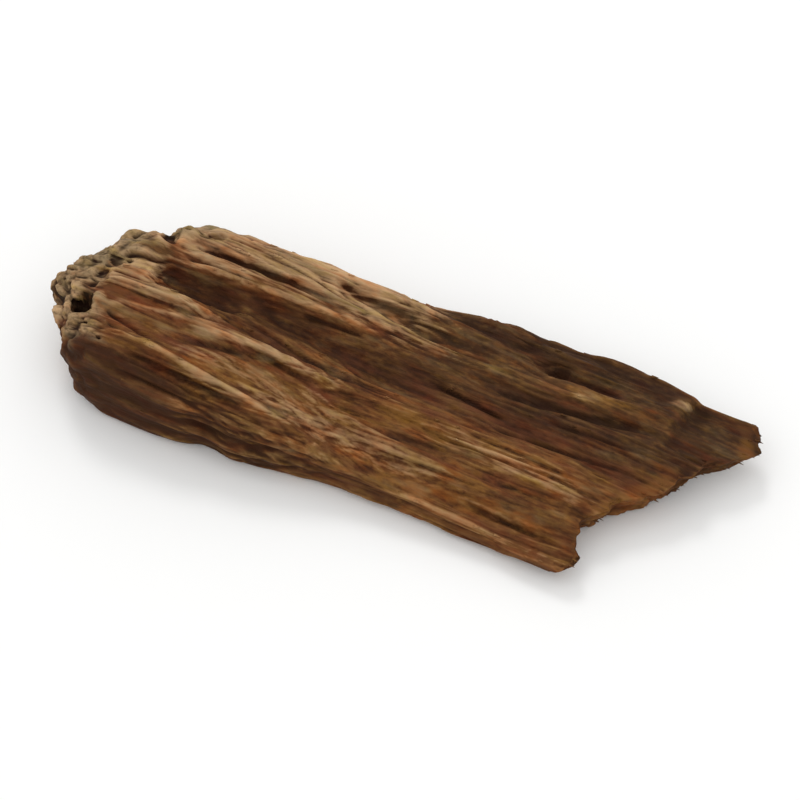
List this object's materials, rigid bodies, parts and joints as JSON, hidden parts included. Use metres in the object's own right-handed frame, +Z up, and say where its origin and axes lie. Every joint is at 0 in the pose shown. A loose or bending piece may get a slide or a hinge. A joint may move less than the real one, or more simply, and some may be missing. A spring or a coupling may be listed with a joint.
{
  "type": "agarwood piece",
  "caption": "Weathered chip of dark resinous heartwood, ridged along its grain, with a knobby pitted end and a thin ragged splintered end.",
  "frame": {"origin": "middle of the bounding box, on the surface that the chip lies on", "axes": "+X along the grain, from the thick knobby end to the thin tongue; +Y across the grain, towards the rolled far rim; +Z up through the thickness"},
  "size_m": [0.07, 0.0262, 0.0093],
  "materials": {
    "agarwood": "dry weathered heartwood, matt, pale brown on the ridges and dark in the grooves"
  },
  "bodies": {
    "root": {"agarwood_piece": "agarwood"}
  },
  "joints": []
}
